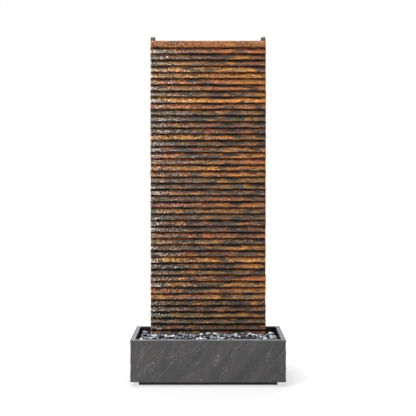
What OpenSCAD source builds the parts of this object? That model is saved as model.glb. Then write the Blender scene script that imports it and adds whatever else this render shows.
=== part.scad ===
// Floor-standing water wall: a stack of split slate courses on a steel frame, standing in a
// slate-faced basin with a pebble bed, a hidden reservoir, a pump and a spill trough.
// Millimetres. +Z up, front towards -Y, origin on the floor under the middle of the basin.

/* [Basin] */
// Width of the basin
basin_w = 775; // [700:5:900]
// Depth of the basin, front to back
basin_d = 350; // [330:5:450]
// Height of the basin shell above its plinth
basin_h = 208; // [202:1:260]
// Wall of the cast basin shell
shell_t = 18; // [16:0.5:24]
// Floor of the cast basin shell
shell_floor_t = 14; // [13:0.5:20]
// Chamfer on the shell's upright corners
corner_cut = 5; // [2:0.5:10]
// Height of the recessed plinth
plinth_h = 24; // [15:1:40]
// How far the plinth stands back from the shell's faces
plinth_inset = 40; // [25:1:60]
// Wall of the plinth frame
plinth_t = 20; // [12:1:30]

/* [Liner] */
// Wall of the plastic reservoir liner
liner_t = 3.5; // [2.5:0.5:5]
// Gap between the liner and the shell
liner_gap = 0.5; // [0.3:0.1:1]
// How far the liner's rim laps over the shell
rim_lap = 8; // [5:0.5:12]
// Thickness of the liner's rim
rim_t = 4; // [3:0.5:6]

/* [Pebble tray] */
// Depth of the tray's top below the basin's rim
tray_depth = 42; // [36:1:48]
// Sheet thickness of the tray
tray_t = 2; // [1.5:0.5:3]
// Depth of the tray's skirt, with the plate above it
tray_skirt = 14; // [8:1:20]
// Clearance round the tray
tray_gap = 2.5; // [1.5:0.5:4]
// Diameter of the tray's legs
leg_d = 18; // [14:1:22]
// Width of a drain slot in the tray
slot_w = 9; // [6:1:12]
// Length of a drain slot in the tray
slot_len = 60; // [40:5:80]

/* [Pebbles] */
// Length of a pebble
pebble_len = 37; // [30:1:40]
// Width of a pebble
pebble_wid = 27; // [22:1:30]
// Thickness of a pebble
pebble_thick = 21; // [16:1:24]

/* [Slate] */
// Width of the slate face
panel_w = 610; // [560:5:640]
// Height of one slate course
course_h = 32.5; // [28:0.5:40]
// Height of the top course
cap_h = 35.5; // [30:0.5:45]
// Thickness of a course at its lower lip
lip_t = 24; // [20:0.5:28]
// Thickness of a course at its upper edge
neck_t = 12; // [9:0.5:15]
// Open joint between two courses
course_joint = 0.4; // [0.3:0.1:0.8]
// How far the split lip wanders in and out
lip_wander = 4; // [1:0.5:6]
// How far the slate reaches below the tray
slate_dip = 23.5; // [17:0.5:28]
// Groups of four courses in the stack
course_sets = 12; // [6:1:14]

/* [Frame] */
// Diameter of the upright posts
post_d = 25; // [22:1:30]
// Wall of the post tube
post_t = 1.6; // [1.2:0.1:3]
// How far the capped posts stand above the slate
post_rise = 30; // [24:1:60]
// How far the posts stand proud of the slate's ends
post_proud = 1.5; // [0:0.5:4]
// Clear space between the posts and the liner's back wall
wall_clear = 12; // [8:0.5:30]
// Thickness of the cross rails
rail_t = 4; // [3:0.5:6]
// Height of the cross rails
rail_h = 30; // [24:1:40]
// Number of cross rails
rail_count = 5; // [3:1:6]
// Thickness of the cement backer board
backer_t = 12; // [10:0.5:15]
// Thickness of the shelf plate under the slate
shelf_t = 4; // [3:0.5:6]
// Thickness of the post's base flange
flange_t = 6; // [4:0.5:10]

/* [Rear cover] */
// Sheet thickness of the rear cover and the trough
sheet_t = 1.2; // [1:0.1:2]
// Depth of the rear cover
cover_depth = 24; // [22:0.5:26]
// Width of the rear cover's screwed edge
cover_edge = 14; // [12:0.5:18]

/* [Water line] */
// Outside diameter of the supply hose and spray bar
hose_d = 16; // [14:0.5:17]
// Inside diameter of the supply hose and spray bar
hose_bore = 13; // [10:0.5:13]
// Place of the hose to the right of the middle
hose_x = 140; // [120:5:170]
// Radius of the hose's bends at its centreline
hose_bend = 28; // [24:1:32]
// Height of the spill trough
trough_h = 38; // [34:1:48]
// Height of the trough's back wall above the slate
trough_back = 6; // [3:0.5:8]
// How far the spill lip laps over the top course
spill_lap = 8; // [4:0.5:12]
// Spacing of the spray holes
spray_pitch = 40; // [25:5:60]

/* [Pump] */
// Width and height of the pump's motor block
motor_size = 54; // [50:1:60]
// Length of the motor block
motor_len = 62; // [56:1:80]
// Outer radius of the pump chamber
chamber_r = 24; // [23:0.5:26]
// Radius of the impeller
impeller_r = 18.5; // [15:0.5:19]
// Radius of the pump shaft
shaft_r = 2; // [1.5:0.1:2.5]
// Place of the pump's axis in front of the middle
pump_front = 10; // [0:1:20]
// Number of impeller blades
blade_count = 6; // [4:1:8]

/* [Drain and cable] */
// Place of the drain to the left of the middle
drain_off = 215; // [150:5:230]
// Bore of the drain fitting
drain_bore = 16; // [14:0.5:20]
// Place of the cable notch to the right of the middle
notch_off = 250; // [200:5:280]
// Width of the cable notch
notch_w = 14; // [10:1:20]

/* [Hidden] */
$fn = 48;
slip = 0.1;
running_gap = 0.05;
course_set = 4;
nose_h = 7;
stack_seed = 11;

// Levels
shell_z = plinth_h;
shell_top = plinth_h + basin_h;
liner_z = shell_z + shell_floor_t;
well_z = liner_z + liner_t;
tray_top = shell_top - tray_depth;
shelf_top = tray_top - slate_dip;
stack_top = shelf_top + course_sets * course_set * course_h;
slate_top = stack_top + cap_h;
trough_z = slate_top - trough_h;
cap_crown_h = 8;
cap_rim_h = 2;
post_top = slate_top + post_rise - cap_crown_h - cap_rim_h;

// Plan
rim_w = shell_t + liner_gap + liner_t;
well_x = basin_w / 2 - rim_w;
well_y = basin_d / 2 - rim_w;
post_x = panel_w / 2 + post_proud - post_d / 2;
post_y = well_y - wall_clear - post_d / 2;
weld_gap = 0.2;
rail_back = post_y - post_d / 2 - weld_gap;
rail_front = rail_back - rail_t;
slate_back = rail_front - backer_t;
lip_front = slate_back - lip_t;
cover_back = rail_back + cover_depth;
hose_y = (rail_back + cover_back - sheet_t) / 2;
trough_x = post_x - post_d / 2 - 3;
cover_x = post_x - post_d / 2 - 6;

// Rails
rail_end = 40;
rail_first = shelf_top + rail_end;
rail_last = trough_z - rail_end;
rail_zs = [for (i = [0:rail_count - 1]) rail_first + i * (rail_last - rail_first) / (rail_count - 1)];
backer_screw_xs = [-230, -60, 60, 230];
backer_screw_d = 4.8;
cover_screw_x = cover_x - cover_edge / 2;
cover_screw_d = 4.8;

// Post flanges
flange_w = 62;
flange_d = 42;
flange_screw_x = 22;
flange_screw_d = 8;
flange_screw_deep = 10;

// Pump levels
foot_h = 6;
pump_y = -pump_front;
pump_z = well_z + foot_h + motor_size / 2;
chamber_len = 22;
boss_top = chamber_r + 3;
boss_bore = 6.3;
chamber_wall = 3;
eye_r = 11;
nozzle_rim = 3;
nozzle_len = 12;
cage_len = 32;
cage_t = 2.5;
dial_r = 16;
dial_t = 4;
dial_pin_r = 3;
dial_window_r = 9.5;
hose_start = pump_z + boss_top + nozzle_rim + 0.3;
hose_run_z = hose_start + nozzle_len + hose_bend;
// The hose still bends a little where it goes up through the shelf plate
hose_hole_gap = 3;

// Drain
drain_z = well_z + 20;
drain_body_d = drain_bore + 8;
drain_recess_d = 38;
drain_recess = 12;
drain_flange_t = 4;

// Names of the slate groups: slate_courses_01 is the lowest
function set_name(i) = str("slate_courses_", i < 9 ? "0" : "", i + 1);

// Helpers

// Extrudes a profile drawn in (y, z) along X, centred
module along_x(len) {
    translate([-len / 2, 0, 0]) rotate([90, 0, 90]) linear_extrude(len) children();
}

// Round bar along X from x0 to x1
module bar_x(r, x0, x1) {
    translate([x0, 0, 0]) rotate([0, 90, 0]) cylinder(r = r, h = x1 - x0);
}

// Round bar along Y from y0 to y1
module bar_y(r, y0, y1) {
    translate([0, y1, 0]) rotate([90, 0, 0]) cylinder(r = r, h = y1 - y0);
}

// Rectangle with round corners, centred
module round_rect(w, h, r) {
    square([w - 2 * r, h], center = true);
    square([w, h - 2 * r], center = true);
    for (x = [-1, 1], y = [-1, 1]) translate([x * (w / 2 - r), y * (h / 2 - r)]) circle(r);
}

// Rectangle with cut corners, centred
module cut_rect(w, d, c) {
    polygon([[-w / 2 + c, -d / 2], [w / 2 - c, -d / 2], [w / 2, -d / 2 + c], [w / 2, d / 2 - c],
             [w / 2 - c, d / 2], [-w / 2 + c, d / 2], [-w / 2, d / 2 - c], [-w / 2, -d / 2 + c]]);
}

module both_sides() {
    children();
    mirror([1, 0, 0]) children();
}

// Basin

module basin_plinth() {
    w = basin_w - 2 * plinth_inset;
    d = basin_d - 2 * plinth_inset;
    rib_x = w / 6;
    color("#1d1d1e") linear_extrude(plinth_h) {
        difference() {
            square([w, d], center = true);
            square([w - 2 * plinth_t, d - 2 * plinth_t], center = true);
        }
        for (x = [-rib_x, rib_x]) translate([x, 0]) square([plinth_t, d - plinth_t], center = true);
    }
}

module basin_shell() {
    in_w = basin_w - 2 * shell_t;
    in_d = basin_d - 2 * shell_t;
    color("#5a595b") difference() {
        translate([0, 0, shell_z]) linear_extrude(basin_h) cut_rect(basin_w, basin_d, corner_cut);
        translate([0, 0, liner_z]) linear_extrude(basin_h) square([in_w, in_d], center = true);
        // Rebate that the liner's rim sits in
        translate([0, 0, shell_top - rim_t]) linear_extrude(basin_h)
            square([in_w + 2 * rim_lap, in_d + 2 * rim_lap], center = true);
        cable_notch(notch_w, rim_w + 1);
        // Drain bore with an outside recess
        translate([-drain_off, 0, drain_z]) {
            bar_y(drain_body_d / 2 + slip, well_y, basin_d / 2 + 1);
            bar_y(drain_recess_d / 2, basin_d / 2 - drain_recess, basin_d / 2 + 1);
        }
        // Inserts for the post flanges' screws
        flange_screw_places() translate([0, 0, liner_z - flange_screw_deep - 0.5])
            cylinder(d = flange_screw_d + 2 * slip, h = flange_screw_deep + 1);
    }
}

// Notch through the back rim with a round bottom
module cable_notch(w, deep) {
    h = notch_w;
    translate([notch_off, basin_d / 2 + 1, shell_top]) rotate([90, 0, 0]) linear_extrude(deep + 1) {
        translate([0, -h + notch_w / 2]) circle(w / 2);
        translate([-w / 2, -h + notch_w / 2]) square([w, h]);
    }
}

module basin_liner() {
    out_w = basin_w - 2 * shell_t - 2 * liner_gap;
    out_d = basin_d - 2 * shell_t - 2 * liner_gap;
    rim_gap = 0.3;
    color("#222224") difference() {
        union() {
            translate([0, 0, liner_z]) linear_extrude(shell_top - liner_z)
                square([out_w, out_d], center = true);
            translate([0, 0, shell_top - rim_t]) linear_extrude(rim_t)
                square([out_w + 2 * (liner_gap + rim_lap - rim_gap),
                        out_d + 2 * (liner_gap + rim_lap - rim_gap)], center = true);
        }
        translate([0, 0, well_z]) linear_extrude(basin_h) square([2 * well_x, 2 * well_y], center = true);
        cable_notch(notch_w, rim_w + 1);
        translate([-drain_off, 0, drain_z])
            bar_y(drain_body_d / 2 + slip, well_y - 1, basin_d / 2);
        flange_screw_places() translate([0, 0, liner_z - 1])
            cylinder(d = flange_screw_d + 2 * slip, h = liner_t + 2);
    }
}

// Rubber edging pressed into the cable notch
module cable_notch_trim() {
    t = 2;
    w = notch_w - 2 * slip;
    color("#161617") intersection() {
        difference() {
            cable_notch(w, rim_w - 1);
            translate([0, 2, 0]) cable_notch(w - 2 * t, rim_w + 3);
        }
        translate([notch_off - notch_w, well_y, shell_top - 2 * notch_w])
            cube([2 * notch_w, rim_w, 2 * notch_w]);
    }
}

// Drain: a flanged fitting, gasket and locknut, and a push-in bung

module drain_fitting() {
    face = basin_d / 2 - drain_recess;
    inner = well_y - 14;
    color("#2a2a2c") translate([-drain_off, 0, drain_z]) difference() {
        union() {
            bar_y(drain_recess_d / 2 - 2, face, face + drain_flange_t);
            bar_y(drain_body_d / 2, inner, face + 1);
        }
        bar_y(drain_bore / 2, inner - 1, face + drain_flange_t + 1);
    }
}

module drain_gasket() {
    color("#101011") translate([-drain_off, 0, drain_z]) difference() {
        bar_y(drain_recess_d / 2, well_y - 2, well_y);
        bar_y(drain_body_d / 2 + slip, well_y - 3, well_y + 1);
    }
}

module drain_locknut() {
    color("#2a2a2c") translate([-drain_off, well_y - 2, drain_z]) rotate([90, 0, 0]) difference() {
        cylinder(d = drain_body_d + 16, h = 8, $fn = 6);
        translate([0, 0, -1]) cylinder(d = drain_body_d + 2 * slip, h = 10);
    }
}

module drain_plug() {
    seat = basin_d / 2 - drain_recess + drain_flange_t;
    head_t = drain_recess - drain_flange_t - 0.5;
    stem_r = drain_bore / 2 - 0.3;
    color("#141415") translate([-drain_off, 0, drain_z]) {
        difference() {
            bar_y(drain_bore / 2 + 5, seat, seat + head_t);
            // Finger recess on each side of a grip bar
            for (z = [-1, 1]) translate([-drain_bore / 2 - 1, seat + 2, z * 6 - 3.5])
                cube([drain_bore + 2, head_t, 7]);
        }
        difference() {
            bar_y(stem_r, seat - 16, seat);
            // Groove for the seal
            difference() {
                bar_y(stem_r + 1, seat - 11, seat - 8);
                bar_y(stem_r - 2, seat - 12, seat - 7);
            }
        }
    }
}

module drain_plug_seal() {
    seat = basin_d / 2 - drain_recess + drain_flange_t;
    color("#5c1f1c") translate([-drain_off, 0, drain_z]) difference() {
        bar_y(drain_bore / 2 - 0.1, seat - 10.8, seat - 8.2);
        bar_y(drain_bore / 2 - 2.25, seat - 12, seat - 7);
    }
}

// Pebble tray

tray_x = well_x - tray_gap;
tray_y = well_y - tray_gap;
gate_x = panel_w / 2 + post_proud + 6;
gate_y = lip_front - 3;

module slot_row(x0, x1, y, len) {
    step = len + 18;
    n = max(1, floor((x1 - x0 - len) / step) + 1);
    pitch = n > 1 ? (x1 - x0 - len) / (n - 1) : 0;
    for (k = [0:n - 1]) translate([x0 + k * pitch, y - slot_w / 2]) square([len, slot_w]);
}

// Slotted plate with a wing at each end of the slate
module pebble_tray() {
    edge = 16;
    row = 2 * slot_w;
    rows = floor((gate_y + tray_y - 2 * edge - slot_w) / row);
    wing = tray_x - gate_x;
    wing_rows = floor((tray_y - gate_y - edge) / row);
    color("#2b2c2e") translate([0, 0, tray_top - tray_t]) linear_extrude(tray_t) difference() {
        polygon([[-tray_x, -tray_y], [tray_x, -tray_y], [tray_x, tray_y], [gate_x, tray_y],
                 [gate_x, gate_y], [-gate_x, gate_y], [-gate_x, tray_y], [-tray_x, tray_y]]);
        for (r = [0:rows])
            slot_row(-tray_x + edge, tray_x - edge, -tray_y + edge + slot_w / 2 + r * row, slot_len);
        for (r = [0:wing_rows - 1], x = [-tray_x, gate_x])
            translate([x + edge / 2, gate_y + slot_w / 2 + r * row]) square([wing - edge, slot_w]);
    }
}

// Strips welded on edge under the plate, one along each side of its plan, apart at the corners
module tray_skirts() {
    h = tray_skirt - tray_t;
    front = -tray_y + tray_t + weld_gap;
    back = tray_y - tray_t - weld_gap;
    beside = gate_y + weld_gap;
    color("#2b2c2e") translate([0, 0, tray_top - tray_skirt]) {
        translate([-tray_x, -tray_y, 0]) cube([2 * tray_x, tray_t, h]);
        for (x = [-tray_x, tray_x - tray_t]) translate([x, front, 0]) cube([tray_t, back - front, h]);
        // Along the back of each wing, then round the slate
        for (x = [-tray_x, gate_x]) translate([x, tray_y - tray_t, 0]) cube([tray_x - gate_x, tray_t, h]);
        for (x = [-gate_x - tray_t, gate_x]) translate([x, beside, 0]) cube([tray_t, back - beside, h]);
        translate([-gate_x, gate_y - tray_t, 0]) cube([2 * gate_x, tray_t, h]);
    }
}

// A row of legs along the tray's front and another in front of the slate
leg_inset = leg_d / 2 + 16;
leg_places = [for (x = [-tray_x + leg_inset, 0, tray_x - leg_inset],
                   y = [-tray_y + leg_inset, gate_y - leg_inset]) [x, y]];
tray_foot_h = 6;

module tray_legs() {
    z0 = well_z + tray_foot_h / 2;
    color("#2b2c2e") for (p = leg_places) translate([p[0], p[1], z0]) difference() {
        cylinder(d = leg_d, h = tray_top - tray_t - z0);
        translate([0, 0, -1]) cylinder(d = leg_d - 3, h = tray_top - tray_t - z0 - 2);
    }
}

module tray_feet() {
    color("#121213") for (p = leg_places) translate([p[0], p[1], well_z]) difference() {
        cylinder(d = leg_d + 4, h = tray_foot_h);
        translate([0, 0, tray_foot_h / 2]) cylinder(d = leg_d + 2 * slip, h = tray_foot_h);
    }
}

// Pebbles

pebble_sides = 8;
pebble_rings = [-55, 0, 50];
pebble_base = sin(55);

// Points of one stone: three rings of an ellipsoid above its flat base, and the top
function pebble_points(s) = concat(
    [for (v = pebble_rings, k = [0:pebble_sides - 1])
        let (u = 360 * k / pebble_sides)
        [s[0] * cos(v) * cos(u), s[1] * cos(v) * sin(u), s[2] * sin(v)]],
    [[0, 0, s[2]]]);

pebble_faces = let (n = pebble_sides, top = 3 * n) concat(
    [[for (k = [0:n - 1]) k]],
    [for (r = [0, 1], k = [0:n - 1])
        let (a = r * n + k, b = r * n + (k + 1) % n) [a, a + n, b + n, b]],
    [for (k = [0:n - 1]) [top, top - n + (k + 1) % n, top - n + k]]);

module pebble(p, s, turn) {
    translate(p) rotate([0, 0, turn]) polyhedron(points = pebble_points(s), faces = pebble_faces);
}

// Three random shares for stone i of row j: length and width, thickness, turn
function stone_rands(seed, i, j) = rands(0, 1, 3, seed + 131 * j + i);
function stone_scale(r) = 0.9 + 0.06 * r[0];
function stone_thick(r) = pebble_thick / 2 * (0.88 + 0.12 * r[1]);

// Rise of a stone r above a stone q where they touch, their centres d half-cells apart in plan
function stone_rise(r, q, d) = (stone_thick(r) + stone_thick(q))
    * sqrt(max(0, 1 - pow(d / (stone_scale(r) + stone_scale(q) - upper_less), 2)));

// Stones of the upper layer are this much smaller, as a share of a half-cell
upper_less = 0.08;
// Facets lie inside their ellipsoids, so touching stones settle to this share of the rise
settle = 0.878;
// A hollow lies this far from its pair of stones, as a share of a row, and this many half-cells
// from all three stones round it
hollow_y = 0.375;
hollow_d = 1.25;

// A bed of stones in staggered cells over [x0, x1] x [y0, y1]: one on the tray in each cell, and
// above, some lying in the hollows between three
module pebble_bed(x0, x1, y0, y1, seed) {
    nx = max(1, round((x1 - x0) / pebble_len));
    ny = max(1, round((y1 - y0) / pebble_wid));
    cx = (x1 - x0) / nx;
    cy = (y1 - y0) / ny;
    function shift(j) = nx > 1 && j % 2 == 1 ? 0.5 : 0;
    function centre_z(r) = tray_top + pebble_base * stone_thick(r);
    color("#4b4f57") for (j = [0:ny - 1]) {
        for (i = [0:nx - 1 - ceil(shift(j))]) {
            r = stone_rands(seed, i, j);
            pebble([x0 + (i + 0.5 + shift(j)) * cx, y0 + (j + 0.5) * cy, centre_z(r)],
                   [cx / 2 * stone_scale(r), cy / 2 * stone_scale(r), stone_thick(r)], 6 * (r[2] - 0.5));
        }
        if (j < ny - 1) for (i = [0:nx - 2 - ceil(shift(j))]) {
            r = stone_rands(seed + 5077, i, j);
            size = stone_scale(r) - upper_less;
            below = [stone_rands(seed, i, j), stone_rands(seed, i + 1, j),
                     stone_rands(seed, i + ceil(shift(j)), j + 1)];
            z = max([for (q = below) centre_z(q) + settle * stone_rise(r, q, hollow_d)]);
            if ((i + 2 * j) % 5 < 3)
                pebble([x0 + (i + 1 + shift(j)) * cx, y0 + (j + 0.5 + hollow_y) * cy, z],
                       [cx / 2 * size, cy / 2 * size, stone_thick(r)], 6 * (r[2] - 0.5));
        }
    }
}

pebble_wall = 2;

module pebbles_front() {
    pebble_bed(-well_x + pebble_wall, well_x - pebble_wall, -well_y + pebble_wall, gate_y, 7);
}

module pebbles_left() {
    pebble_bed(-well_x + pebble_wall, -gate_x - 1, gate_y, well_y - pebble_wall, 901);
}

module pebbles_right() {
    pebble_bed(gate_x + 1, well_x - pebble_wall, gate_y, well_y - pebble_wall, 1501);
}

// Frame

module flange_screw_places() {
    for (x = [-1, 1], s = [-1, 1]) translate([x * post_x + s * flange_screw_x, post_y, 0]) children();
}

module post_flanges() {
    color("#8d9196") both_sides() translate([post_x, post_y, well_z]) linear_extrude(flange_t)
        difference() {
            round_rect(flange_w, flange_d, 6);
            for (s = [-1, 1]) translate([s * flange_screw_x, 0]) circle(flange_screw_d / 2 + slip);
        }
}

module flange_screws() {
    color("#b9bcc0") flange_screw_places() {
        translate([0, 0, well_z + flange_t]) difference() {
            cylinder(d = flange_screw_d + 5, h = 5);
            translate([0, 0, 2]) cylinder(d = 6.5, h = 4, $fn = 6);
        }
        translate([0, 0, liner_z - flange_screw_deep])
            cylinder(d = flange_screw_d, h = flange_screw_deep + liner_t + flange_t + 1);
    }
}

module post() {
    z0 = well_z + flange_t;
    translate([post_x, post_y, z0]) difference() {
        cylinder(d = post_d, h = post_top - z0);
        translate([0, 0, -1]) cylinder(d = post_d - 2 * post_t, h = post_top - z0 + 2);
    }
}

module post_left() {
    color("#9a9da1") mirror([1, 0, 0]) post();
}

module post_right() {
    color("#9a9da1") post();
}

// Domed cap with a spigot inside the tube
module post_cap() {
    r = post_d / 2;
    dome = (r * r + cap_crown_h * cap_crown_h) / (2 * cap_crown_h);
    spigot = 12;
    translate([post_x, post_y, post_top]) {
        cylinder(r = r, h = cap_rim_h);
        translate([0, 0, cap_rim_h]) intersection() {
            cylinder(r = r, h = cap_crown_h + 1);
            translate([0, 0, cap_crown_h - dome]) sphere(r = dome);
        }
        translate([0, 0, -spigot]) cylinder(r = r - post_t - slip, h = spigot + 1);
    }
}

module post_cap_left() {
    color("#85878a") mirror([1, 0, 0]) post_cap();
}

module post_cap_right() {
    color("#85878a") post_cap();
}

// Collars clamped on the posts, under the shelf plate
module shelf_collars() {
    h = 12;
    color("#75787c") both_sides() translate([post_x, post_y, shelf_top - shelf_t - h]) difference() {
        cylinder(d = post_d + 13, h = h);
        translate([0, 0, -1]) cylinder(d = post_d + 2 * slip, h = h + 2);
        // Split with the pinch gap facing forwards
        translate([-1, -post_d, -1]) cube([2, post_d - post_d / 2 + 4, h + 2]);
    }
}

// Plate that the slate and the backer board stand on
module slate_shelf() {
    y0 = lip_front + 3;
    y1 = post_y + post_d / 2 + 5;
    color("#75787c") translate([0, 0, shelf_top - shelf_t]) linear_extrude(shelf_t) difference() {
        translate([-panel_w / 2, y0]) square([panel_w, y1 - y0]);
        for (s = [-1, 1]) translate([s * post_x, post_y]) circle(post_d / 2 + slip);
        translate([hose_x, hose_y]) circle(hose_d / 2 + hose_hole_gap);
    }
}

module cross_rails() {
    color("#75787c") for (z = rail_zs) difference() {
        translate([-panel_w / 2 + 4, rail_front, z - rail_h / 2]) cube([panel_w - 8, rail_t, rail_h]);
        for (x = backer_screw_xs) translate([x, 0, z])
            bar_y(backer_screw_d / 2 + slip, rail_front - 1, rail_back + 1);
        for (s = [-1, 1]) translate([s * cover_screw_x, 0, z])
            bar_y(cover_screw_d / 2 + slip, rail_front - 1, rail_back + 1);
    }
}

module backer_board() {
    color("#8f8d88") difference() {
        translate([-panel_w / 2 + 2, slate_back, shelf_top])
            cube([panel_w - 4, backer_t, trough_z - shelf_top]);
        for (z = rail_zs, x = backer_screw_xs) translate([x, 0, z]) {
            bar_y(backer_screw_d / 2 + slip, slate_back - 1, rail_front + 1);
            bar_y(backer_screw_d + slip, slate_back - 1, slate_back + 3);
        }
    }
}

module backer_screws() {
    color("#b9bcc0") for (z = rail_zs, x = backer_screw_xs) translate([x, 0, z]) {
        bar_y(backer_screw_d, slate_back + 0.2, slate_back + 2.8);
        bar_y(backer_screw_d / 2, slate_back + 2, rail_back + 2);
    }
}

// Slate

// Profile of a course in (y, z): back edge at y = 0, lip towards -y, lower lip proud and undercut
function course_profile(h, lip, neck) =
    [[0, 0], [-lip + 6, 0], [-lip + 1.5, 2], [-lip, nose_h], [-neck - 1.5, h - 4], [-neck, h], [0, h]];

function cap_profile(h, lip) =
    [[0, 0], [-lip + 5, 0], [-lip + 1, 3], [-lip + 1, h - 4], [-lip + 4, h - 1], [0, h]];

lip_steps = 12;

// Plan of a course in (x, y): a broken front edge between two knapped ends
function course_plan(lip, r) =
    let (x0 = -panel_w / 2 + 2 * r[0], x1 = panel_w / 2 - 2 * r[1],
         c0 = 5 + 4 * r[2], c1 = 5 + 4 * r[3], run = x1 - x0 - c0 - c1)
    concat([[x0, 0], [x0, -lip + c0 + 2]],
        [for (k = [0:lip_steps]) [x0 + c0 + run * k / lip_steps, -lip + lip_wander * r[4 + k]]],
        [[x1, -lip + c1 + 2], [x1, 0]]);

module course(z, h, profile, lip, r) {
    translate([0, slate_back, z]) intersection() {
        along_x(panel_w + 2) polygon(profile);
        linear_extrude(h) polygon(course_plan(lip, r));
    }
}

slate_colours = ["#8a5430", "#4a4744", "#a86a35", "#5d4438", "#b57a3c", "#6d5a45"];

// Courses 4 i to 4 i + 3, each with its own lip, neck and broken edge
module slate_courses(i) {
    for (k = [0:course_set - 1]) {
        n = course_set * i + k;
        r = rands(0, 1, lip_steps + 7, stack_seed + 17 * n);
        lip = lip_t - 2.5 * r[lip_steps + 5];
        neck = neck_t - 2.5 * r[lip_steps + 6];
        h = course_h - course_joint;
        color(slate_colours[(n * 5) % len(slate_colours)])
            course(shelf_top + n * course_h, h, course_profile(h, lip, neck), lip, r);
    }
}

module slate_cap() {
    r = rands(0, 1, lip_steps + 7, stack_seed + 999);
    color("#a8683b") course(stack_top, cap_h, cap_profile(cap_h, lip_t - 1), lip_t - 1, r);
}

// Rear cover: a shallow pan with a screwed edge on each side

cover_z = shelf_top + 18;

// The folded sheet in (x, y): its right half's outside from the rim to the middle, and its inside
// from the middle to the rim
cover_wall_x = cover_x - cover_edge;
cover_fold = 5;
fold_in = (sqrt(2) - 1) * sheet_t;
cover_outside = [
    [cover_x, rail_back], [cover_x, rail_back + sheet_t], [cover_wall_x + sheet_t, rail_back + sheet_t],
    [cover_wall_x + sheet_t, cover_back - cover_fold], [cover_wall_x + sheet_t - cover_fold, cover_back]];
cover_inside = [
    [cover_wall_x + sheet_t - cover_fold - fold_in, cover_back - sheet_t],
    [cover_wall_x, cover_back - cover_fold - fold_in], [cover_wall_x, rail_back]];

// Mirrors a run of points and turns its order round
function mirrored_back(p) = [for (i = [len(p) - 1:-1:0]) [-p[i][0], p[i][1]]];

module rear_cover() {
    color("#232425") translate([0, 0, cover_z]) difference() {
        linear_extrude(trough_z - 6 - cover_z)
            polygon(concat(cover_outside, mirrored_back(cover_outside),
                           mirrored_back(cover_inside), cover_inside));
        for (z = rail_zs, s = [-1, 1]) translate([s * cover_screw_x, 0, z - cover_z])
            bar_y(cover_screw_d / 2 + slip, rail_back - 1, rail_back + sheet_t + 1);
    }
}

module cover_screws() {
    color("#3a3b3d") for (z = rail_zs, s = [-1, 1]) translate([s * cover_screw_x, 0, z]) {
        bar_y(cover_screw_d / 2, rail_front + 0.5, rail_back + sheet_t + 1);
        difference() {
            bar_y(4.5, rail_back + sheet_t, rail_back + sheet_t + 3);
            translate([-3.5, rail_back + sheet_t + 1.8, -0.6]) cube([7, 2, 1.2]);
        }
    }
}

// Water line

spray_z = trough_z + sheet_t + 4 + hose_d / 2;
tee_r = hose_d / 2 + 2.5;
tee_run = 44;
tee_stem = 12;
tee_spigot = 22;
tee_shoulder = 3;

// Folded trough between the posts; its front edge laps over the top course as the spill lip
module top_trough() {
    y0 = slate_back;
    y1 = cover_back;
    lap_z = slate_top + sheet_t;
    color("#a5a8ac") difference() {
        union() {
            along_x(2 * trough_x) polygon([
                [y0, trough_z], [y1, trough_z], [y1, slate_top + trough_back],
                [y1 - sheet_t, slate_top + trough_back], [y1 - sheet_t, trough_z + sheet_t],
                [y0 + sheet_t, trough_z + sheet_t], [y0 + sheet_t, lap_z],
                [y0 - spill_lap, lap_z], [y0 - spill_lap, slate_top], [y0, slate_top]]);
            both_sides() translate([trough_x - sheet_t, y0, trough_z])
                cube([sheet_t, y1 - y0, trough_h + trough_back]);
        }
        translate([hose_x, hose_y, trough_z - 1]) cylinder(r = tee_r + slip, h = sheet_t + 2);
    }
}

// Tee on the trough's floor: its stem goes down through the floor and ends in a spigot for the hose
module spray_tee() {
    stem_z = trough_z - tee_stem;
    spigot_z = stem_z - tee_spigot;
    shoulder_h = 3;
    flat_w = 2 * tee_r + 0.8;
    color("#37383a") translate([hose_x, hose_y, 0]) difference() {
        union() {
            translate([0, 0, spray_z]) bar_x(tee_r, -tee_run / 2, tee_run / 2);
            translate([0, 0, stem_z]) cylinder(r = tee_r, h = spray_z - stem_z);
            translate([0, 0, spigot_z]) cylinder(r = hose_bore / 2 - slip, h = tee_spigot + 1);
            // Shoulder that seats on the trough's floor, flat where it passes the back wall
            translate([0, 0, trough_z + sheet_t]) intersection() {
                cylinder(r = tee_r + tee_shoulder, h = shoulder_h);
                cube([4 * tee_r, flat_w, 4 * shoulder_h], center = true);
            }
        }
        translate([0, 0, spray_z]) {
            bar_x(hose_d / 2 + slip, -tee_run / 2 - 1, -6);
            bar_x(hose_d / 2 + slip, 6, tee_run / 2 + 1);
            bar_x(hose_bore / 2, -7, 7);
        }
        translate([0, 0, spigot_z - 1]) cylinder(r = hose_bore / 2 - 1.8, h = spray_z - spigot_z + 1);
    }
}

module tee_locknut() {
    h = 6;
    color("#37383a") translate([hose_x, hose_y, trough_z - h]) difference() {
        cylinder(r = tee_r + tee_shoulder + 0.5, h = h, $fn = 6);
        translate([0, 0, -1]) cylinder(r = tee_r + slip, h = h + 2);
    }
}

// Two drilled pipes, one pushed into each end of the tee
module spray_bars() {
    end_x = trough_x - 8;
    color("#37383a") for (run = [[-end_x, hose_x - 6.5], [hose_x + 6.5, end_x]])
        translate([0, hose_y, spray_z]) difference() {
            bar_x(hose_d / 2, run[0], run[1]);
            bar_x(hose_bore / 2, run[0] - 1, run[1] + 1);
            for (x = [run[0] + 22:spray_pitch:run[1] - 18])
                if (abs(x - hose_x) > tee_run / 2 + 3) translate([x, 0, 0]) cylinder(d = 3, h = hose_d);
        }
}

module spray_bar_caps() {
    end_x = trough_x - 8;
    color("#1c1c1d") translate([0, hose_y, spray_z]) both_sides() difference() {
        bar_x(hose_d / 2 + 1.8, end_x - 12, end_x + 2);
        bar_x(hose_d / 2 + slip, end_x - 13, end_x);
    }
}

hose_end = trough_z - tee_stem - 0.3;

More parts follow.
